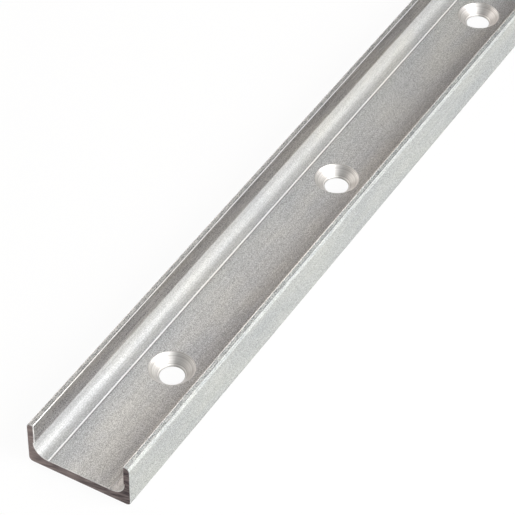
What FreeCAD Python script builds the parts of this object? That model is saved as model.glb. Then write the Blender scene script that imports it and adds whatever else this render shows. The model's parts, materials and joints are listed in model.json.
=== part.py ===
"""A guide rail of drawn steel: a C-shaped bar with a raceway along each flange and a row of screw holes.

The rail lies on the back of its web. X runs along it, Z points up out of the channel, and the origin is
the middle of the footprint.
"""
import FreeCAD, Part
import Sketcher
import math
import os

# Driving dimensions, in millimetres and degrees
SIZES = {
    "rail_length": 480,
    "rail_width": 28,
    "rail_height": 12.25,
    "web_thickness": 2.7,
    "flange_thickness": 1.9,
    # Outer edge of each foot, under the flange
    "foot_radius": 1.2,
    # Top of each flange: a steep outer chamfer, a flat land and a small inner chamfer
    "outer_chamfer_width": 0.5,
    "outer_chamfer_height": 0.85,
    "inner_chamfer_width": 0.3,
    "inner_chamfer_height": 0.25,
    # Raceway: a hollow curve from flange to web, ground a little way into the flange
    "raceway_radius": 3.6,
    "raceway_relief": 0.25,
    # Fine groove in the web, just inside the foot of the raceway
    "groove_offset": 0.1,
    "groove_width": 0.75,
    "groove_depth": 0.15,
    # Screw holes: a countersink that narrows to a bore with a thin straight land
    "hole_pitch": 80,
    "end_distance": 40,
    "bore_diameter": 6.2,
    "bore_land": 0.1,
    "countersink_angle": 90,
    # Broken outer edges of the two sawn ends
    "end_break": 0.25,
}

# A point of a sketch line or arc, as the sketcher numbers it
START, END, CENTRE = 1, 2, 3
# The sketch's own horizontal axis, and its origin as a point of that axis
X_AXIS = -1
ORIGIN = (X_AXIS, START)

# The holes that fit are counted with this share of a pitch to spare, against rounding
COUNT_SLACK = 0.001
# Two places nearer than this, in millimetres, are the same
SAME_PLACE = 1e-4


def make_sizes(doc):
    """Write the driving dimensions into a spreadsheet, one named cell each."""
    sheet = doc.addObject("Spreadsheet::Sheet", "Sizes")
    for row, (name, value) in enumerate(SIZES.items(), start=1):
        sheet.set(f"A{row}", name)
        sheet.set(f"B{row}", str(value))
        sheet.setAlias(f"B{row}", name)
    doc.recompute()
    return sheet


def origin_feature(body, role):
    """One of the body's own origin planes or axes."""
    return next(item for item in body.Origin.OriginFeatures if item.Role == role)


def attached_sketch(body, name, plane):
    """An empty sketch on one of the body's origin planes."""
    sketch = body.newObject("Sketcher::SketchObject", name)
    sketch.AttachmentSupport = (origin_feature(body, plane), [""])
    sketch.MapMode = "FlatFace"
    return sketch


def constrain(sketch, kind, *where):
    """Add a constraint that has no size."""
    sketch.addConstraint(Sketcher.Constraint(kind, *where))


def size(sketch, kind, *where, by, now):
    """Add a constraint whose size follows an expression on the spreadsheet, from its present value."""
    index = sketch.addConstraint(Sketcher.Constraint(kind, *where, now))
    sketch.setExpression(f"Constraints[{index}]", by)


def line(sketch, start, end):
    """Add a straight edge and return its index."""
    return sketch.addGeometry(Part.LineSegment(FreeCAD.Vector(*start, 0), FreeCAD.Vector(*end, 0)), False)


def quarter_arc(sketch, centre, radius):
    """Add a quarter circle below and to the right of its centre, and return its index."""
    circle = Part.Circle(FreeCAD.Vector(*centre, 0), FreeCAD.Vector(0, 0, 1), radius)
    lowest, rightmost = math.radians(-90), math.radians(0)
    return sketch.addGeometry(Part.ArcOfCircle(circle, lowest, rightmost), False)


def draw_half_section(sketch, v):
    """Draw one half of the C section, from the middle of the web to one flange, fully constrained.

    v holds the present value of each driving dimension.
    """
    half, top, web = v["rail_width"] / 2, v["rail_height"], v["web_thickness"]
    inside = half - v["flange_thickness"]
    foot = v["foot_radius"]
    wall = inside + v["raceway_relief"]
    centre = (wall - v["raceway_radius"], web + v["raceway_radius"])
    lip = centre[1] + v["raceway_relief"]
    outer_top = (half - v["outer_chamfer_width"], top)
    outer_low = (half, top - v["outer_chamfer_height"])
    inner_top = (inside + v["inner_chamfer_width"], top)
    inner_low = (inside, top - v["inner_chamfer_height"])
    groove_near = centre[0] - v["groove_offset"]
    groove_deep = (groove_near - v["groove_width"] / 2, web - v["groove_depth"])
    groove_far = groove_near - v["groove_width"]

    bottom = line(sketch, (0, 0), (half - foot, 0))
    foot_arc = quarter_arc(sketch, (half - foot, foot), foot)
    side = line(sketch, (half, foot), outer_low)
    outer_chamfer = line(sketch, outer_low, outer_top)
    land = line(sketch, outer_top, inner_top)
    inner_chamfer = line(sketch, inner_top, inner_low)
    inner_wall = line(sketch, inner_low, (inside, lip))
    relief = line(sketch, (inside, lip), (wall, centre[1]))
    raceway = quarter_arc(sketch, centre, v["raceway_radius"])
    strip = line(sketch, (centre[0], web), (groove_near, web))
    groove_in = line(sketch, (groove_near, web), groove_deep)
    groove_out = line(sketch, groove_deep, (groove_far, web))
    web_top = line(sketch, (groove_far, web), (0, web))
    middle = line(sketch, (0, web), (0, 0))

    joined = [
        (side, END, outer_chamfer, START),
        (outer_chamfer, END, land, START),
        (land, END, inner_chamfer, START),
        (inner_chamfer, END, inner_wall, START),
        (inner_wall, END, relief, START),
        (relief, END, raceway, END),
        (strip, END, groove_in, START),
        (groove_in, END, groove_out, START),
        (groove_out, END, web_top, START),
        (web_top, END, middle, START),
        (middle, END, bottom, START),
        (bottom, START, *ORIGIN),
    ]
    for ends in joined:
        constrain(sketch, "Coincident", *ends)
    smooth = [
        (bottom, END, foot_arc, START),
        (foot_arc, END, side, START),
        (raceway, START, strip, START),
    ]
    for ends in smooth:
        constrain(sketch, "Tangent", *ends)
    for edge in (bottom, land, strip, web_top):
        constrain(sketch, "Horizontal", edge)
    for edge in (side, inner_wall, middle):
        constrain(sketch, "Vertical", edge)
    constrain(sketch, "Horizontal", raceway, CENTRE, raceway, END)
    constrain(sketch, "Horizontal", strip, END, web_top, START)

    size(sketch, "DistanceX", *ORIGIN, side, START, by="Sizes.rail_width / 2", now=half)
    size(sketch, "DistanceY", *ORIGIN, land, START, by="Sizes.rail_height", now=top)
    size(sketch, "DistanceY", *ORIGIN, web_top, END, by="Sizes.web_thickness", now=web)
    size(sketch, "DistanceX", inner_wall, START, side, END,
         by="Sizes.flange_thickness", now=half - inside)
    size(sketch, "Radius", foot_arc, by="Sizes.foot_radius", now=foot)
    size(sketch, "DistanceX", outer_chamfer, END, outer_chamfer, START,
         by="Sizes.outer_chamfer_width", now=v["outer_chamfer_width"])
    size(sketch, "DistanceY", outer_chamfer, START, outer_chamfer, END,
         by="Sizes.outer_chamfer_height", now=v["outer_chamfer_height"])
    size(sketch, "DistanceX", inner_chamfer, END, inner_chamfer, START,
         by="Sizes.inner_chamfer_width", now=v["inner_chamfer_width"])
    size(sketch, "DistanceY", inner_chamfer, END, inner_chamfer, START,
         by="Sizes.inner_chamfer_height", now=v["inner_chamfer_height"])
    size(sketch, "Radius", raceway, by="Sizes.raceway_radius", now=v["raceway_radius"])
    size(sketch, "DistanceX", relief, START, relief, END,
         by="Sizes.raceway_relief", now=v["raceway_relief"])
    size(sketch, "DistanceY", relief, END, relief, START,
         by="Sizes.raceway_relief", now=v["raceway_relief"])
    size(sketch, "DistanceX", strip, END, strip, START,
         by="Sizes.groove_offset", now=v["groove_offset"])
    size(sketch, "DistanceX", groove_out, END, groove_in, START,
         by="Sizes.groove_width", now=v["groove_width"])
    size(sketch, "DistanceX", groove_in, END, groove_in, START,
         by="Sizes.groove_width / 2", now=v["groove_width"] / 2)
    size(sketch, "DistanceY", groove_in, END, groove_in, START,
         by="Sizes.groove_depth", now=v["groove_depth"])


def make_bar(body, v):
    """Extrude the half section along the rail and mirror it: the plain bar, with no holes."""
    section = attached_sketch(body, "half_section", "YZ_Plane")
    draw_half_section(section, v)
    half_bar = body.newObject("PartDesign::Pad", "half_bar")
    half_bar.Profile = section
    half_bar.SideType = "Symmetric"
    half_bar.setExpression("Length", "Sizes.rail_length")
    body.Document.recompute()
    if not section.FullyConstrained:
        raise RuntimeError("the half section is not fully constrained")
    bar = body.newObject("PartDesign::Mirrored", "bar")
    bar.Originals = [half_bar]
    bar.MirrorPlane = (origin_feature(body, "XZ_Plane"), [""])
    body.Tip = bar
    body.Document.recompute()
    return bar


def outer_end_edges(bar, v):
    """Names of the edges round the outside of both ends: the back, the feet, the sides and chamfers."""
    names = []
    for number, edge in enumerate(bar.Shape.Edges, start=1):
        at_end = all(abs(abs(p.X) - v["rail_length"] / 2) < SAME_PLACE for p in edge.Vertexes)
        box = edge.BoundBox
        at_back = box.ZMax < v["foot_radius"] + SAME_PLACE
        at_side = max(abs(box.YMin), abs(box.YMax)) > v["rail_width"] / 2 - SAME_PLACE
        if at_end and (at_back or at_side):
            names.append(f"Edge{number}")
    return names


def break_ends(body, bar, v):
    """Break the outer edges of the two sawn ends."""
    broken = body.newObject("PartDesign::Chamfer", "broken_ends")
    broken.Base = (bar, outer_end_edges(bar, v))
    broken.setExpression("Size", "Sizes.end_break")
    body.Document.recompute()
    return broken


def drill_holes(body, v):
    """Sink one screw hole near the first end and repeat it along the rail, as many times as fit."""
    place = attached_sketch(body, "first_hole", "XY_Plane")
    place.setExpression("AttachmentOffset.Base.z", "Sizes.web_thickness")
    from_middle = v["rail_length"] / 2 - v["end_distance"]
    bore_radius = v["bore_diameter"] / 2
    centre = FreeCAD.Vector(-from_middle, 0, 0)
    circle = place.addGeometry(Part.Circle(centre, FreeCAD.Vector(0, 0, 1), bore_radius), False)
    constrain(place, "PointOnObject", circle, CENTRE, X_AXIS)
    size(place, "DistanceX", circle, CENTRE, *ORIGIN,
         by="Sizes.rail_length / 2 - Sizes.end_distance", now=from_middle)
    size(place, "Radius", circle, by="Sizes.bore_diameter / 2", now=bore_radius)
    body.Document.recompute()

    hole = body.newObject("PartDesign::Hole", "screw_hole")
    hole.Profile = place
    hole.ThreadType = "None"
    hole.DepthType = "ThroughAll"
    hole.HoleCutType = "Countersink"
    hole.HoleCutCustomValues = True
    hole.setExpression("Diameter", "Sizes.bore_diameter")
    hole.setExpression("HoleCutCountersinkAngle", "Sizes.countersink_angle")
    depth = "(Sizes.web_thickness - Sizes.bore_land)"
    hole.setExpression(
        "HoleCutDiameter",
        f"Sizes.bore_diameter + 2 * {depth} * tan(Sizes.countersink_angle / 2)",
    )
    body.Document.recompute()

    row = body.newObject("PartDesign::LinearPattern", "screw_holes")
    row.Originals = [hole]
    row.Direction = (origin_feature(body, "X_Axis"), [""])
    row.Mode = "Spacing"
    row.setExpression("Offset", "Sizes.hole_pitch")
    row.setExpression(
        "Occurrences",
        f"floor((Sizes.rail_length - 2 * Sizes.end_distance) / Sizes.hole_pitch + {COUNT_SLACK}) + 1",
    )
    body.Tip = row
    body.Document.recompute()
    return hole, row


def check(doc, bar, hole, row):
    """Stop if any object failed, the rail is not one valid solid, or a cut removed nothing."""
    for item in doc.Objects:
        if {"Invalid", "Error"} & set(item.State):
            raise RuntimeError(f"{item.Name} failed: {item.State}")
    if row.Shape.isNull() or not row.Shape.isValid() or len(row.Shape.Solids) != 1:
        raise RuntimeError("the rail is not one valid solid")
    one_hole = bar.Shape.Volume - hole.Shape.Volume
    all_holes = bar.Shape.Volume - row.Shape.Volume
    if one_hole <= 0 or all_holes < one_hole:
        raise RuntimeError("the screw holes cut nothing")


def main():
    os.makedirs("parts", exist_ok=True)
    doc = FreeCAD.newDocument("rail")
    sheet = make_sizes(doc)
    values = {name: float(sheet.get(name)) for name in SIZES}
    body = doc.addObject("PartDesign::Body", "guide_rail")
    body.Label = "guide_rail"
    bar = break_ends(body, make_bar(body, values), values)
    hole, row = drill_holes(body, values)
    check(doc, bar, hole, row)
    body.Shape.exportStep(f"parts/{body.Label}.step")


main()
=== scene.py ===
"""A drawn steel guide rail on a plain studio floor: its fine mesh, finishes, light and camera."""

import json
import logging
import math
from abc import ABC, abstractmethod
from dataclasses import dataclass
from enum import IntEnum
from typing import Any

import bmesh
import bpy
from bmesh.types import BMEdge, BMesh, BMFace, BMVert
from mathutils import Matrix, Quaternion, Vector


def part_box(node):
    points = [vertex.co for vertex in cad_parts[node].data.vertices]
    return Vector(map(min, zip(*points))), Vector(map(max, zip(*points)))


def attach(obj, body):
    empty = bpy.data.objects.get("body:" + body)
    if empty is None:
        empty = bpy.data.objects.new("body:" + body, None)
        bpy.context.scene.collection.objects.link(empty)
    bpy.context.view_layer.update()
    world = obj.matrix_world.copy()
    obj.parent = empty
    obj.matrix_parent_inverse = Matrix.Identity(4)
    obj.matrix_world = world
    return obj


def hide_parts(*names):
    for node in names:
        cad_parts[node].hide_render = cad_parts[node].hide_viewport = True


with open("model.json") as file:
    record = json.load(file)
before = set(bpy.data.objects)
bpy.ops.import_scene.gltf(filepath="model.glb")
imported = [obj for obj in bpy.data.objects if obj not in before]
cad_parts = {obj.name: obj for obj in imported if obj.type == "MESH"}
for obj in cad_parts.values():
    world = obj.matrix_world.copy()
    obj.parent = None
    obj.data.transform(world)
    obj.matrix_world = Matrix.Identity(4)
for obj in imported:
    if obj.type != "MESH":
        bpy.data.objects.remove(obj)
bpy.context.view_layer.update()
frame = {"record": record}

LOG = logging.getLogger("guide_rail")
MM = 0.001
# Two points nearer than this, in metres, are the same
SAME_PLACE = 1e-7
# A face whose normal has more than this share along an axis faces along that axis
FACING = 0.9
WHITE = "#FFFFFF"
# Colour of the lamps on the shaded side
WARM_WHITE = "#FFF4F0"


class Region(IntEnum):
    """The differently finished surfaces of the bar, numbered as its material slots."""

    PLATED = 0
    OUTSIDE = 1
    LAND = 2
    FLANGE = 3
    RACEWAY = 4
    GROOVE = 5
    GROOVE_GRIME = 6
    OUTER_CHAMFER = 7
    INNER_CHAMFER = 8
    COUNTERSINK = 9
    SAWN = 10
    SAWN_RIM = 11
    DULL_LAND = 12


# The two sides of the bar differ a little. On the left the top face is duller, and so is the outer
# chamfer beside it
LEFT_SIDE = {Region.LAND: Region.DULL_LAND, Region.OUTER_CHAMFER: Region.DULL_LAND}
# On the right the groove gets no painted shade: its shaded inner wall takes the pale finish, a
# painted light, and its outer wall stays plated
RIGHT_SIDE = {Region.GROOVE: Region.PLATED, Region.GROOVE_GRIME: Region.GROOVE}


def linear(colour: str) -> tuple[float, float, float, float]:
    """Turn an sRGB hex colour into the linear colour that a node takes.

    Args:
        colour: Six hex digits after a hash sign.

    Returns:
        Red, green, blue and an alpha of 1.
    """
    shares = [int(colour[i:i + 2], 16) / 255 for i in (1, 3, 5)]
    red, green, blue = (c / 12.92 if c <= 0.04045 else ((c + 0.055) / 1.055) ** 2.4 for c in shares)
    return red, green, blue, 1.0


def add(tree: bpy.types.NodeTree, kind: str, inputs: dict[str | int, Any] | None = None,
        **settings: Any) -> bpy.types.Node:
    """Add one node to a tree, with its settings, values and links.

    Args:
        tree: The tree that the node goes into.
        kind: The node's type, without the word ShaderNode before it.
        inputs: For each input, by name or number, a value or the output socket of another node.
        settings: The node's own properties.

    Returns:
        The new node.
    """
    node = tree.nodes.new("ShaderNode" + kind)
    for name, value in settings.items():
        setattr(node, name, value)
    for key, value in (inputs or {}).items():
        if isinstance(value, bpy.types.NodeSocket):
            tree.links.new(value, node.inputs[key])
        else:
            node.inputs[key].default_value = value
    return node


def join_rings(mesh: BMesh, first: list[BMVert], second: list[BMVert]) -> None:
    """Join two closed rings of points by a band of four-sided faces.

    Args:
        mesh: The mesh that holds the points.
        first: The points of one ring, in their order round it.
        second: The points of the other ring, in the same order.
    """
    for i in range(len(first)):
        mesh.faces.new((first[i - 1], first[i], second[i], second[i - 1]))


class MetalFinish(ABC):
    """What every finish of the bar shares: a metal material with patterns in millimetres."""

    name: str
    pale: str
    dull: str
    metallic: float
    smooth: float
    rough: float
    depth_mm: float

    @abstractmethod
    def make(self) -> bpy.types.Material:
        """Build the material.

        Returns:
            The material.
        """

    def start(self) -> tuple[bpy.types.Material, bpy.types.NodeTree, bpy.types.NodeSocket]:
        """Begin the material.

        Returns:
            The material, its empty tree, and the place on the piece in millimetres.
        """
        material = bpy.data.materials.new(self.name)
        material.use_nodes = True
        tree = material.node_tree
        tree.nodes.clear()
        metres = add(tree, "TexCoord").outputs["Object"]
        place = add(tree, "VectorMath", {0: metres, "Scale": 1 / MM}, operation="SCALE").outputs[0]
        return material, tree, place

    def streaks(self, tree: bpy.types.NodeTree, place: bpy.types.NodeSocket,
                size_mm: tuple[float, float, float], detail: float = 3.0,
                turn: tuple[float, float, float] = (0.0, 0.0, 0.0)) -> bpy.types.NodeSocket:
        """Add a noise whose patches have a given size along each axis of the bar.

        Args:
            tree: The material's tree.
            place: The place on the piece in millimetres.
            size_mm: Length of a patch along the bar, across it and up.
            detail: How much finer noise lies on top.
            turn: Angles about the three axes by which the noise is turned, in radians.

        Returns:
            The noise, from 0 to 1.
        """
        shares = tuple(1 / size for size in size_mm)
        scaled = add(tree, "Mapping", {"Vector": place, "Rotation": turn, "Scale": shares})
        noise = add(tree, "TexNoise", {"Vector": scaled.outputs[0], "Scale": 1.0, "Detail": detail})
        return noise.outputs["Fac"]

    def shade(self, tree: bpy.types.NodeTree, level: bpy.types.NodeSocket) -> bpy.types.NodeSocket:
        """Add the metal's colour.

        Args:
            tree: The material's tree.
            level: How bright the surface is, from 0 (dull) to 1 (pale).

        Returns:
            The colour.
        """
        return add(tree, "Mix", {"Factor": level, "A": linear(self.dull), "B": linear(self.pale)},
                   data_type="RGBA").outputs["Result"]

    def end(self, tree: bpy.types.NodeTree, colour: bpy.types.NodeSocket,
            level: bpy.types.NodeSocket, relief: bpy.types.NodeSocket) -> None:
        """Close the material with its metal shader.

        Args:
            tree: The material's tree.
            colour: The metal's colour.
            level: How bright the surface is, from 0 (rough) to 1 (smooth).
            relief: The height of the surface's fine relief, from 0 to 1.
        """
        roughness = add(tree, "MapRange", {
            "Value": level, "To Min": self.rough, "To Max": self.smooth})
        bump = add(tree, "Bump", {
            "Height": relief, "Strength": 1.0, "Distance": self.depth_mm * MM})
        shader = add(tree, "BsdfPrincipled", {
            "Base Color": colour, "Metallic": self.metallic,
            "Roughness": roughness.outputs[0], "Normal": bump.outputs[0]})
        add(tree, "OutputMaterial", {"Surface": shader.outputs[0]})


@dataclass(frozen=True)
class DrawnSteel(MetalFinish):
    """Drawn and plated steel: a sandy grain, faint lines along the bar and tinted stains."""

    name: str
    pale: str
    dull: str
    metallic: float
    smooth: float
    rough: float
    # Zinc grains are some hundredths of a millimetre wide: drawn coarser, so that they show
    grain_mm: float = 0.23
    # The grain is turned by these angles, in radians, so that it is as strong on each face
    grain_turn: tuple[float, float, float] = (0.7, 0.5, 0.3)
    # Drawing lines: some centimetres long, a few tenths of a millimetre apart
    line_mm: tuple[float, float, float] = (60.0, 0.5, 0.5)
    line_share: float = 0.14
    # Stains of a few centimetres, or streaks of a few millimetres on a rubbed face
    stain_mm: tuple[float, float, float] = (24.0, 7.0, 7.0)
    stain_share: float = 0.14
    # The part of the patterns' range that runs from dull to pale, and from cool to warm
    level_range: tuple[float, float] = (0.38, 0.62)
    tinge_range: tuple[float, float] = (0.35, 0.65)
    # The zinc's thin clear coat shimmers faintly from bluish to yellowish
    cool: str = "#FCFCFF"
    warm: str = "#FFFDFA"
    depth_mm: float = 0.012

    def make(self) -> bpy.types.Material:
        """Build the material.

        Returns:
            The material.
        """
        material, tree, place = self.start()
        grain = self.streaks(tree, place, (self.grain_mm,) * 3, detail=1.0, turn=self.grain_turn)
        lines = self.streaks(tree, place, self.line_mm)
        stains = self.streaks(tree, place, self.stain_mm, detail=4.0)
        fine = add(tree, "Mix", {
            "Factor": self.line_share, "A": grain, "B": lines}).outputs["Result"]
        mottle = add(tree, "Mix", {
            "Factor": self.stain_share, "A": fine, "B": stains}).outputs["Result"]
        low, high = self.level_range
        level = add(tree, "MapRange", {
            "Value": mottle, "From Min": low, "From Max": high}).outputs[0]
        low, high = self.tinge_range
        hue = add(tree, "MapRange", {
            "Value": stains, "From Min": low, "From Max": high}).outputs[0]
        tinge = add(tree, "Mix", {"Factor": hue, "A": linear(self.cool), "B": linear(self.warm)},
                    data_type="RGBA").outputs["Result"]
        colour = add(tree, "Mix", {"Factor": 1.0, "A": self.shade(tree, level), "B": tinge},
                     data_type="RGBA", blend_type="MULTIPLY").outputs["Result"]
        self.end(tree, colour, level, fine)
        return material


@dataclass(frozen=True)
class MachinedSteel(MetalFinish):
    """Bright steel cut by a countersink: rings of fine tool marks round each hole.

    The holes stand half a pitch from the middle of the bar, and a whole pitch apart.
    """

    pitch_mm: float
    name: str = "steel_countersunk"
    pale: str = "#F0EFEC"
    dull: str = "#C4C2BF"
    metallic: float = 1.0
    smooth: float = 0.42
    rough: float = 0.54
    # Feed marks of the tool, drawn a little coarser than real ones so that they show
    ring_mm: float = 0.22
    # The part of the rings' range that runs from dull to pale
    ring_range: tuple[float, float] = (0.3, 0.7)
    depth_mm: float = 0.008

    def make(self) -> bpy.types.Material:
        """Build the material.

        Returns:
            The material.
        """
        material, tree, place = self.start()
        half = self.pitch_mm / 2
        axes = add(tree, "SeparateXYZ", {0: place}).outputs
        shifted = add(tree, "Math", {0: axes["X"], 1: half}, operation="SUBTRACT").outputs[0]
        along = add(tree, "Math", {0: shifted, 1: half, 2: -half}, operation="WRAP").outputs[0]
        flat = add(tree, "CombineXYZ", {"X": along, "Y": axes["Y"]}).outputs[0]
        radius = add(tree, "VectorMath", {0: flat}, operation="LENGTH").outputs["Value"]
        rings = add(tree, "TexNoise", {"W": radius, "Scale": 1 / self.ring_mm, "Detail": 2.0},
                    noise_dimensions="1D").outputs["Fac"]
        low, high = self.ring_range
        level = add(tree, "MapRange", {
            "Value": rings, "From Min": low, "From Max": high}).outputs[0]
        self.end(tree, self.shade(tree, level), level, rings)
        return material


@dataclass(frozen=True)
class SawnSteel(MetalFinish):
    """Bare steel as the saw leaves it, dark warm grey and uneven; its colour darkens towards one
    flange.
    """

    name: str = "steel_sawn"
    pale: str = "#9A8C88"
    dull: str = "#3C3236"
    metallic: float = 0.8
    smooth: float = 0.45
    rough: float = 0.65
    # Marks of the saw's teeth
    mark_mm: tuple[float, float, float] = (1.0, 4.0, 0.6)
    # The part of the marks' range that runs from dull to pale
    mark_range: tuple[float, float] = (0.32, 0.68)
    tilt_degrees: float = 12.0
    # The cut darkens from one flange to the other, over this width
    fade_mm: float = 28.0
    fade_share: float = 0.4
    depth_mm: float = 0.008

    def make(self) -> bpy.types.Material:
        """Build the material.

        Returns:
            The material.
        """
        material, tree, place = self.start()
        tilt = (math.radians(self.tilt_degrees), 0.0, 0.0)
        turned = add(tree, "Mapping", {"Vector": place, "Rotation": tilt}).outputs[0]
        marks = self.streaks(tree, turned, self.mark_mm, detail=4.0)
        low, high = self.mark_range
        uneven = add(tree, "MapRange", {
            "Value": marks, "From Min": low, "From Max": high}).outputs[0]
        across = add(tree, "SeparateXYZ", {0: place}).outputs["Y"]
        half = self.fade_mm / 2
        fade = add(tree, "MapRange", {
            "Value": across, "From Min": -half, "From Max": half}).outputs[0]
        level = add(tree, "Mix", {
            "Factor": self.fade_share, "A": uneven, "B": fade}).outputs["Result"]
        self.end(tree, self.shade(tree, level), level, marks)
        return material


@dataclass(frozen=True)
class Corner:
    """One corner of the half section, in millimetres: its place and where its rounding starts."""

    across: float
    up: float
    rounding: float = 0.0
    steps: int = 3


@dataclass(frozen=True)
class RailSection:
    """The C section of the bar, in millimetres.

    The web lies on its back and the flanges stand up at its sides.
    """

    width: float
    height: float
    web: float = 2.7
    flange: float = 1.9
    foot_radius: float = 1.2
    foot_steps: int = 10
    outer_chamfer_width: float = 0.5
    outer_chamfer_height: float = 0.85
    inner_chamfer_width: float = 0.3
    inner_chamfer_height: float = 0.25
    raceway_radius: float = 3.6
    raceway_steps: int = 28
    # How much deeper than a flange's inner face the raceway reaches
    raceway_relief: float = 0.25
    groove_offset: float = 0.1
    groove_width: float = 0.75
    groove_depth: float = 0.15
    edge_rounding: float = 0.12
    inner_rounding: float = 0.09
    lip_rounding: float = 0.12
    fine_rounding: float = 0.04
    # How far beside or over a surface a place may lie and still belong to it
    side_slack: float = 0.02
    level_slack: float = 0.005

    @property
    def lip(self) -> float:
        """Height over the back of the edge between a flange's inner face and its raceway."""
        return self.web + self.raceway_radius + self.raceway_relief

    @property
    def inside(self) -> float:
        """Distance from the middle of the bar to a flange's inner face."""
        return self.width / 2 - self.flange

    @property
    def wall(self) -> float:
        """Distance from the middle of the bar to the widest place of a raceway."""
        return self.inside + self.raceway_relief

    @property
    def floor_end(self) -> float:
        """Distance from the middle of the bar to where the web turns up into a raceway."""
        return self.wall - self.raceway_radius

    @property
    def groove_near(self) -> float:
        """Distance from the middle of the bar to the outer edge of a groove."""
        return self.floor_end - self.groove_offset

    @property
    def groove_far(self) -> float:
        """Distance from the middle of the bar to the inner edge of a groove."""
        return self.groove_near - self.groove_width

    def corners(self) -> list[Corner]:
        """List the corners of one half of the section.

        Returns:
            The corners, from the middle of the back round the flange to the middle of the web.
        """
        half, near = self.width / 2, self.groove_near
        return [
            Corner(0.0, 0.0),
            Corner(half, 0.0, self.foot_radius, self.foot_steps),
            Corner(half, self.height - self.outer_chamfer_height, self.edge_rounding),
            Corner(half - self.outer_chamfer_width, self.height, self.edge_rounding),
            Corner(self.inside + self.inner_chamfer_width, self.height, self.inner_rounding),
            Corner(self.inside, self.height - self.inner_chamfer_height, self.inner_rounding),
            Corner(self.inside, self.lip, self.lip_rounding),
            Corner(self.wall, self.lip - self.raceway_relief / 2),
            Corner(self.wall, self.web, self.raceway_radius, self.raceway_steps),
            Corner(near, self.web, self.fine_rounding),
            Corner(near - self.groove_width / 2, self.web - self.groove_depth, self.fine_rounding),
            Corner(self.groove_far, self.web, self.fine_rounding),
            Corner(0.0, self.web),
        ]

    def region(self, across: float, up: float) -> Region:
        """Find the finish of a place on the section's outline.

        Args:
            across: Its distance from the middle of the bar.
            up: Its height over the back.

        Returns:
            The region of the place.
        """
        slack, level = self.side_slack, self.level_slack
        land_end = self.width / 2 - self.outer_chamfer_width
        if across > self.width / 2 - slack:
            return Region.OUTSIDE
        if up > self.height - level and across < land_end:
            return Region.LAND
        if up > self.height - self.outer_chamfer_height and across > land_end - slack:
            return Region.OUTER_CHAMFER
        if up > self.height - self.inner_chamfer_height - slack:
            return Region.INNER_CHAMFER
        # A groove's outer wall gets the pale finish, a painted highlight, and its inner wall a
        # painted shade
        if up < self.web - level and self.groove_far - slack < across < self.groove_near + slack:
            outer = across > (self.groove_near + self.groove_far) / 2
            return Region.GROOVE if outer else Region.GROOVE_GRIME
        if across > self.wall + slack or up < self.web + level or across < self.floor_end:
            return Region.PLATED
        return Region.FLANGE if up > self.lip - self.raceway_relief / 2 else Region.RACEWAY

    def draw(self, mesh: BMesh) -> BMFace:
        """Draw the whole section as one face across the bar.

        Args:
            mesh: The mesh that the face goes into.

        Returns:
            The face.
        """
        corners = self.corners()
        points = [mesh.verts.new((0.0, c.across * MM, c.up * MM)) for c in corners]
        edges = [mesh.edges.new(pair) for pair in zip(points, points[1:])]
        bmesh.ops.mirror(mesh, geom=points + edges, matrix=Matrix.Identity(4), axis="Y",
                         merge_dist=SAME_PLACE)
        bmesh.ops.contextual_create(mesh, geom=mesh.edges[:])
        bmesh.ops.dissolve_verts(mesh, verts=[v for v in mesh.verts if abs(v.co.y) < SAME_PLACE])
        for corner in corners:
            if corner.rounding:
                self.round_corner(mesh, corner)
        return mesh.faces[:][0]

    def round_corner(self, mesh: BMesh, corner: Corner) -> None:
        """Round one corner of the section on both sides of the bar.

        Args:
            mesh: The mesh that holds the section.
            corner: The corner to round.
        """
        places = [Vector((0.0, side * corner.across * MM, corner.up * MM)) for side in (1, -1)]
        found = [v for v in mesh.verts if any((v.co - p).length < SAME_PLACE for p in places)]
        bmesh.ops.bevel(mesh, geom=found, offset=corner.rounding * MM, offset_type="OFFSET",
                        segments=corner.steps, profile=0.5, affect="VERTICES", material=-1,
                        clamp_overlap=False)


@dataclass(frozen=True)
class ScrewHole:
    """One countersunk screw hole through the web, in millimetres."""

    bore_radius: float
    web: float
    # Height of the straight bore under the countersink
    land: float = 0.1
    rim_rounding: float = 0.07
    # Share of the rim's rounding by which its middle point lies off the sharp corner
    rim_curve: float = 0.25
    steps: int = 96

    @property
    def rim_radius(self) -> float:
        """Radius of the countersink at the top of the web: its sides slope at 45 degrees."""
        return self.bore_radius + self.web - self.land

    def sink(self, mesh: BMesh, along: float) -> tuple[list[BMEdge], list[BMEdge]]:
        """Turn the hole's wall round its axis.

        Args:
            mesh: The mesh that the wall goes into.
            along: The hole's place along the bar, in metres.

        Returns:
            The edges of the upper rim and those of the lower rim.
        """
        bend = self.rim_curve * self.rim_rounding
        outline = [
            (self.rim_radius + self.rim_rounding, self.web),
            (self.rim_radius + bend, self.web - bend),
            (self.rim_radius - self.rim_rounding, self.web - self.rim_rounding),
            (self.bore_radius + self.rim_rounding, self.land + self.rim_rounding),
            (self.bore_radius, self.land),
            (self.bore_radius, 0.0),
        ]
        turns = [2 * math.pi * i / self.steps for i in range(self.steps)]
        rings = [[mesh.verts.new((along + math.cos(t) * r * MM, math.sin(t) * r * MM, z * MM))
                  for t in turns] for r, z in outline]
        for first, second in zip(rings, rings[1:]):
            join_rings(mesh, first, second)
        upper, lower = ([mesh.edges.get((ring[i - 1], ring[i])) for i in range(self.steps)]
                        for ring in (rings[0], rings[-1]))
        return upper, lower


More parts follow.
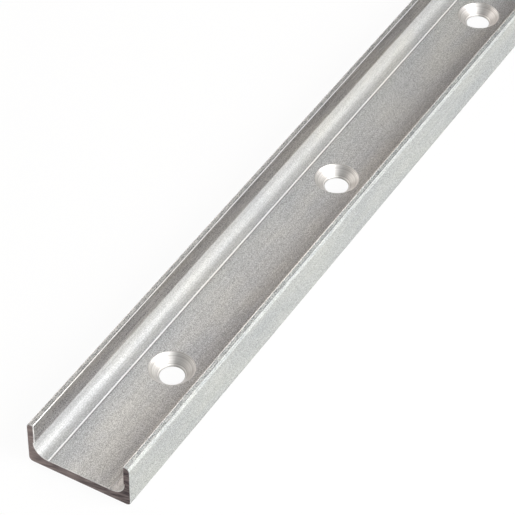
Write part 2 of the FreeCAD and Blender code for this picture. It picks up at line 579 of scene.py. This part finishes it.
@dataclass
class GuideRail:
    """The whole bar: one drawn section, sawn to length, with a row of screw holes along its web."""

    section: RailSection
    hole: ScrewHole
    hole_places: list[float]
    length: float
    finishes: dict[Region, MetalFinish]
    # The sharp edges of the sawn ends are broken by this much
    end_break_mm: float = 0.18
    # The faces of the web that hold the screw holes are wider than this
    web_least_mm: float = 2.0
    name: str = "rail_bar"

    def build(self) -> bpy.types.Object:
        """Make the bar's mesh and its object.

        Returns:
            The bar's object.
        """
        mesh = bmesh.new()
        self.extrude(mesh)
        self.open_web(mesh)
        bmesh.ops.remove_doubles(mesh, verts=mesh.verts[:], dist=SAME_PLACE)
        bmesh.ops.recalc_face_normals(mesh, faces=mesh.faces[:])
        self.sort_faces(mesh)
        data = bpy.data.meshes.new(self.name)
        mesh.to_mesh(data)
        mesh.free()
        piece = bpy.data.objects.new(self.name, data)
        bpy.context.scene.collection.objects.link(piece)
        piece.modifiers.new("face_weighted_normals", "WEIGHTED_NORMAL").keep_sharp = True
        return piece

    def extrude(self, mesh: BMesh) -> None:
        """Extrude the section to the bar's length and break the edges of its two ends.

        Args:
            mesh: The mesh to build in.
        """
        edge = self.end_break_mm * MM
        straight = self.length - 2 * edge
        near = self.section.draw(mesh).verts[:]
        bmesh.ops.translate(mesh, verts=near, vec=(-straight / 2, 0.0, 0.0))
        far = [mesh.verts.new(v.co + Vector((straight, 0.0, 0.0))) for v in near]
        mesh.faces.new(far)
        join_rings(mesh, near, far)
        bmesh.ops.recalc_face_normals(mesh, faces=mesh.faces[:])
        ends = [f for f in mesh.faces if abs(f.normal.x) > FACING]
        bmesh.ops.inset_region(mesh, faces=ends, thickness=edge, depth=edge, use_even_offset=True)

    def open_web(self, mesh: BMesh) -> None:
        """Cut the screw holes: refill the web's two faces round the rims of the holes.

        Args:
            mesh: The mesh to build in.
        """
        web = self.section.web * MM
        faces = {level: self.web_faces(mesh, level) for level in (web, 0.0)}
        borders = {level: [e for f in found for e in f.edges] for level, found in faces.items()}
        bmesh.ops.delete(mesh, geom=faces[web] + faces[0.0], context="FACES_ONLY")
        for along in self.hole_places:
            upper, lower = self.hole.sink(mesh, along)
            borders[web] += upper
            borders[0.0] += lower
        for edges in borders.values():
            bmesh.ops.triangle_fill(mesh, use_beauty=True, use_dissolve=False, edges=edges)

    def web_faces(self, mesh: BMesh, level: float) -> list[BMFace]:
        """Find the wide flat faces of the web at one height.

        Args:
            mesh: The mesh to search.
            level: The height over the back, in metres.

        Returns:
            The faces.
        """
        least = self.web_least_mm * MM * self.length
        return [f for f in mesh.faces if abs(f.normal.z) > FACING and f.calc_area() > least
                and abs(f.calc_center_median().z - level) < SAME_PLACE]

    def sort_faces(self, mesh: BMesh) -> None:
        """Give each face of the bar the number of its finish, and shade it smooth.

        Args:
            mesh: The finished mesh.
        """
        straight_end = self.length / 2 - self.end_break_mm * MM
        web = self.section.web * MM
        for face in mesh.faces:
            middle = face.calc_center_median()
            if abs(middle.x) > straight_end + SAME_PLACE:
                region = Region.SAWN if abs(face.normal.x) > FACING else self.rim_region(middle)
            elif self.in_hole(middle) and SAME_PLACE < middle.z < web - SAME_PLACE:
                region = Region.COUNTERSINK
            else:
                region = self.section.region(abs(middle.y) / MM, middle.z / MM)
                region = (LEFT_SIDE if middle.y > 0 else RIGHT_SIDE).get(region, region)
            face.material_index = region
            face.smooth = True

    def rim_region(self, place: Vector) -> Region:
        """Find the finish of a place on the broken edge round a sawn end.

        Args:
            place: The place, in metres.

        Returns:
            The pale rim inside the section, and the plated skin outside it.
        """
        across, up = abs(place.y) / MM, place.z / MM
        low = self.section.web - self.end_break_mm
        high = self.section.height - self.section.inner_chamfer_height
        inside = across < self.section.wall + self.end_break_mm and low < up < high
        return Region.SAWN_RIM if inside else Region.PLATED

    def in_hole(self, place: Vector) -> bool:
        """Tell whether a place on the bar is inside the rim of a screw hole.

        Args:
            place: The place, in metres.

        Returns:
            True inside a rim.
        """
        reach = (self.hole.rim_radius + self.hole.rim_rounding) * MM
        return any(math.hypot(place.x - along, place.y) < reach for along in self.hole_places)

    def dress(self, piece: bpy.types.Object) -> None:
        """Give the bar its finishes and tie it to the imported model.

        Args:
            piece: The bar's object.
        """
        for region in Region:
            piece.data.materials.append(self.finishes[region].make())
        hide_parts("guide_rail")
        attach(piece, "root")


@dataclass(frozen=True)
class SoftBox:
    """A large soft lamp: where it stands, seen from the picture's middle, its size and strength."""

    name: str
    direction: tuple[float, float, float]
    distance: float
    width: float
    height: float
    # Brightness of its face, where 1 is white
    brightness: float
    colour: str = WHITE

    def hang(self, aim: Vector) -> bpy.types.Object:
        """Put the lamp in place.

        Args:
            aim: The point that it faces.

        Returns:
            The lamp's object.
        """
        data = bpy.data.lights.new(self.name, "AREA")
        data.shape = "RECTANGLE"
        data.size, data.size_y = self.width, self.height
        data.energy = self.brightness * math.pi * self.width * self.height
        data.color = linear(self.colour)[:3]
        lamp = bpy.data.objects.new(self.name, data)
        towards = Vector(self.direction).normalized()
        lamp.location = aim + towards * self.distance
        lamp.rotation_euler = towards.to_track_quat("Z", "Y").to_euler()
        lamp.visible_camera = False
        bpy.context.scene.collection.objects.link(lamp)
        return lamp


@dataclass(frozen=True)
class Studio:
    """The plain room: a pale floor, a dim grey sky, soft lamps and pale panels."""

    aim: Vector
    floor_size: float = 80.0
    floor_drop_mm: float = 0.02
    floor_colour: str = "#F2F2F0"
    # Share of the floor's white that shows in the picture and in the metal whatever falls on it
    floor_glow: float = 0.94
    sky_horizon: str = "#303030"
    sky_top: str = "#181818"
    # Heights between which the one grey turns into the other, where 1 is straight up
    sky_low: float = 0.05
    sky_high: float = 0.6
    lamps: tuple[SoftBox, ...] = (
        SoftBox("side_box", (-0.370, -0.695, 0.616), 0.45, 0.56, 0.3, 2.45),
        SoftBox("middle_box", (0.070, -0.796, 0.602), 0.45, 0.3, 0.3, 6.2),
        SoftBox("low_strip", (0.400, -0.885, 0.240), 0.5, 0.5, 0.12, 1.1),
        SoftBox("far_box", (0.624, -0.624, 0.469), 0.5, 0.4, 0.26, 1.25),
        SoftBox("back_panel", (0.335, 0.516, 0.788), 0.7, 0.5, 0.4, 2.6, WARM_WHITE),
        SoftBox("front_panel", (-0.682, 0.394, 0.616), 0.8, 0.6, 0.5, 0.5),
        SoftBox("left_panel", (0.611, 0.729, 0.309), 0.8, 0.5, 0.3, 2.9, WARM_WHITE),
        SoftBox("left_strip", (0.250, 0.940, 0.220), 0.6, 0.8, 0.2, 1.8),
    )

    def build(self) -> None:
        """Lay the floor, paint the sky and hang the lamps."""
        self.lay_floor()
        self.paint_sky()
        for lamp in self.lamps:
            LOG.info("lamp %s", lamp.hang(self.aim).name)

    def lay_floor(self) -> None:
        """Lay a wide flat floor just under the bar. It looks white and keeps the bar's shadow."""
        mesh = bmesh.new()
        bmesh.ops.create_grid(mesh, x_segments=1, y_segments=1, size=self.floor_size / 2,
                              matrix=Matrix.Translation((0.0, 0.0, -self.floor_drop_mm * MM)))
        data = bpy.data.meshes.new("studio_floor")
        mesh.to_mesh(data)
        mesh.free()
        floor = bpy.data.objects.new("studio_floor", data)
        bpy.context.scene.collection.objects.link(floor)
        data.materials.append(self.make_paper())
        LOG.info("stage %s", floor.name)

    def make_paper(self) -> bpy.types.Material:
        """Build the floor's material, which glows white only where the camera or the metal sees it.

        Returns:
            The material.
        """
        material = bpy.data.materials.new("matt_paper_floor")
        material.use_nodes = True
        tree = material.node_tree
        tree.nodes.clear()
        rays = add(tree, "LightPath").outputs
        seen = add(tree, "Math", {0: rays["Is Camera Ray"], 1: rays["Is Glossy Ray"]},
                   operation="MAXIMUM")
        shown = add(tree, "Math", {0: seen.outputs[0], 1: rays["Is Transmission Ray"]},
                    operation="MAXIMUM")
        share = add(tree, "Math", {0: shown.outputs[0], 1: self.floor_glow}, operation="MULTIPLY")
        paper = add(tree, "BsdfDiffuse", {"Color": linear(self.floor_colour)})
        white = add(tree, "Emission", {"Color": linear(WHITE), "Strength": 1.0})
        mixed = add(tree, "MixShader", {
            0: share.outputs[0], 1: paper.outputs[0], 2: white.outputs[0]})
        add(tree, "OutputMaterial", {"Surface": mixed.outputs[0]})
        return material

    def paint_sky(self) -> None:
        """Paint a dim grey sky, a little paler at the horizon."""
        world = bpy.data.worlds.new("studio_sky")
        world.use_nodes = True
        tree = world.node_tree
        tree.nodes.clear()
        position = add(tree, "NewGeometry").outputs["Position"]
        height = add(tree, "SeparateXYZ", {0: position}).outputs["Z"]
        share = add(tree, "MapRange", {"Value": height, "From Min": self.sky_low,
                                       "From Max": self.sky_high}, interpolation_type="SMOOTHSTEP")
        colour = add(tree, "Mix", {"Factor": share.outputs[0], "A": linear(self.sky_horizon),
                                   "B": linear(self.sky_top)}, data_type="RGBA")
        sky = add(tree, "Background", {"Color": colour.outputs["Result"], "Strength": 1.0})
        add(tree, "OutputWorld", {"Surface": sky.outputs[0]})
        bpy.context.scene.world = world


@dataclass(frozen=True)
class PhotoCamera:
    """The photograph's camera: the point that it faces, its distance, direction and lens."""

    aim_mm: tuple[float, float, float] = (-156.276, 2.226, 2.7)
    distance_mm: float = 644.96
    azimuth_degrees: float = -59.607
    elevation_degrees: float = 43.034
    roll_degrees: float = 0.461
    lens_mm: float = 180.74
    # Nearest and farthest distance that it sees, in metres
    clip: tuple[float, float] = (0.01, 200.0)

    @property
    def aim(self) -> Vector:
        """The point that the camera faces, in metres."""
        return Vector(self.aim_mm) * MM

    def place(self) -> bpy.types.Object:
        """Set the camera up and make it the scene's camera.

        Returns:
            The camera's object.
        """
        turn, rise = math.radians(self.azimuth_degrees), math.radians(self.elevation_degrees)
        flat = math.cos(rise)
        back = Vector((math.sin(turn) * flat, -math.cos(turn) * flat, math.sin(rise)))
        data = bpy.data.cameras.new("photo_camera")
        data.lens = self.lens_mm
        data.clip_start, data.clip_end = self.clip
        camera = bpy.data.objects.new("photo_camera", data)
        camera.location = self.aim + back * self.distance_mm * MM
        level = (-back).to_track_quat("-Z", "Y")
        roll = Quaternion((0.0, 0.0, 1.0), math.radians(self.roll_degrees))
        camera.rotation_euler = (level @ roll).to_euler()
        bpy.context.scene.collection.objects.link(camera)
        bpy.context.scene.camera = camera
        return camera


def screw_rows() -> tuple[list[float], float]:
    """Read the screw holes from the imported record.

    Returns:
        The holes' places along the bar in metres, and the bore's radius in millimetres.
    """
    patterns = [m["dims"] for m in frame["record"]["mounts"] if m["kind"] == "bolt_pattern"]
    places = sorted(side * p["spacing_x_mm"] / 2 * MM for p in patterns for side in (-1, 1))
    return places, patterns[0]["hole_r_mm"]


def rail_finishes(pitch_mm: float) -> dict[Region, MetalFinish]:
    """Choose the finish of each surface of the bar.

    Args:
        pitch_mm: Distance between two screw holes.

    Returns:
        A finish for each region.
    """
    return {
        # Matt pale grey: the zinc's dull skin scatters most of the light, as paint does
        Region.PLATED: DrawnSteel("zinc_plated_steel_drawn", "#D9DCDB", "#969998",
                                  0.35, 0.46, 0.56),
        # A duller and more even grey on the outer sides
        Region.OUTSIDE: DrawnSteel("zinc_plated_steel_rolled", "#C6C7C5", "#868785",
                                   0.35, 0.46, 0.56, cool="#FAFCFF", warm="#FEFFFC"),
        # Narrow top face, streaked by handling
        Region.LAND: DrawnSteel("zinc_plated_steel_rubbed", "#D2D6D5", "#676B6A",
                                0.35, 0.44, 0.56, stain_mm=(2.2, 0.3, 0.3), stain_share=0.3,
                                cool="#FAFDFF", warm="#FDFFFC"),
        # The other top face is duller, and the outer chamfer beside it takes the same finish
        Region.DULL_LAND: DrawnSteel("zinc_plated_steel_duller", "#C2C5C4", "#5B5E5D",
                                     0.35, 0.44, 0.56, stain_mm=(2.2, 0.3, 0.3), stain_share=0.3),
        # Darker and glossier: pressed smooth by the drawing die
        Region.FLANGE: DrawnSteel("zinc_plated_steel_burnished", "#E1DDDA", "#6F6B68",
                                  1.0, 0.26, 0.4, line_mm=(16.0, 0.3, 0.3), line_share=0.3),
        # Paler than the web, with fine grinding lines along the bar
        Region.RACEWAY: DrawnSteel("zinc_plated_steel_ground", "#DADBD9", "#AEAFAD",
                                   0.35, 0.44, 0.52, line_mm=(18.0, 0.3, 0.3), line_share=0.25,
                                   depth_mm=0.006),
        # The palest strip: a painted highlight on the lit wall of one groove, and painted light
        # over the shaded inner wall of the other
        Region.GROOVE: DrawnSteel("zinc_plated_steel_grooved", "#F6F6F4", "#E8E8E6",
                                  0.1, 0.4, 0.48, line_share=0.8, depth_mm=0.002),
        # Painted shade: darkens the bottom of the groove and its inner wall, the groove's shaded
        # side
        Region.GROOVE_GRIME: DrawnSteel("zinc_plated_steel_painted_shade", "#B2B1AF", "#868583",
                                        0.35, 0.46, 0.56),
        # Pale chamfer along the outer edge, streaked as the top face is
        Region.OUTER_CHAMFER: DrawnSteel("zinc_plated_steel_planed", "#D7DBD9", "#989C9A",
                                         0.35, 0.42, 0.5, stain_mm=(6.0, 0.4, 0.4), stain_share=0.3,
                                         depth_mm=0.004),
        # Bright narrow edges, rubbed free of their dull skin
        Region.INNER_CHAMFER: DrawnSteel("steel_rubbed_bright", "#D2D2D0", "#C0C0BE",
                                         1.0, 0.18, 0.26, line_share=0.8, depth_mm=0.002),
        # Bright bare metal with rings round each hole
        Region.COUNTERSINK: MachinedSteel(pitch_mm),
        # Dark dull cut
        Region.SAWN: SawnSteel(),
        # Pale rim along the inside of the section, where the saw's burr was broken off; its
        # near-white colour is also a painted highlight along the broken edge
        Region.SAWN_RIM: DrawnSteel("steel_burred_highlight", "#F4F4F2", "#C9C8C5",
                                    0.1, 0.4, 0.5, stain_mm=(1.0, 2.5, 1.5), stain_share=0.6,
                                    depth_mm=0.004),
    }


def main() -> None:
    """Build the camera, the studio and the bar, in that order."""
    logging.basicConfig(level=logging.INFO, format="%(name)s: %(message)s")
    bpy.context.scene.view_settings.view_transform = "Standard"
    camera = PhotoCamera()
    LOG.info("camera %s", camera.place().name)
    Studio(aim=camera.aim).build()

    low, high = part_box("guide_rail")
    size = (high - low) / MM
    places, bore = screw_rows()
    section = RailSection(width=size.y, height=size.z)
    hole = ScrewHole(bore, section.web)
    pitch = (places[1] - places[0]) / MM
    rail = GuideRail(section, hole, places, size.x * MM, rail_finishes(pitch))
    piece = rail.build()
    rail.dress(piece)
    LOG.info("piece %s: %d faces", piece.name, len(piece.data.polygons))


if __name__ == "__main__":
    main()
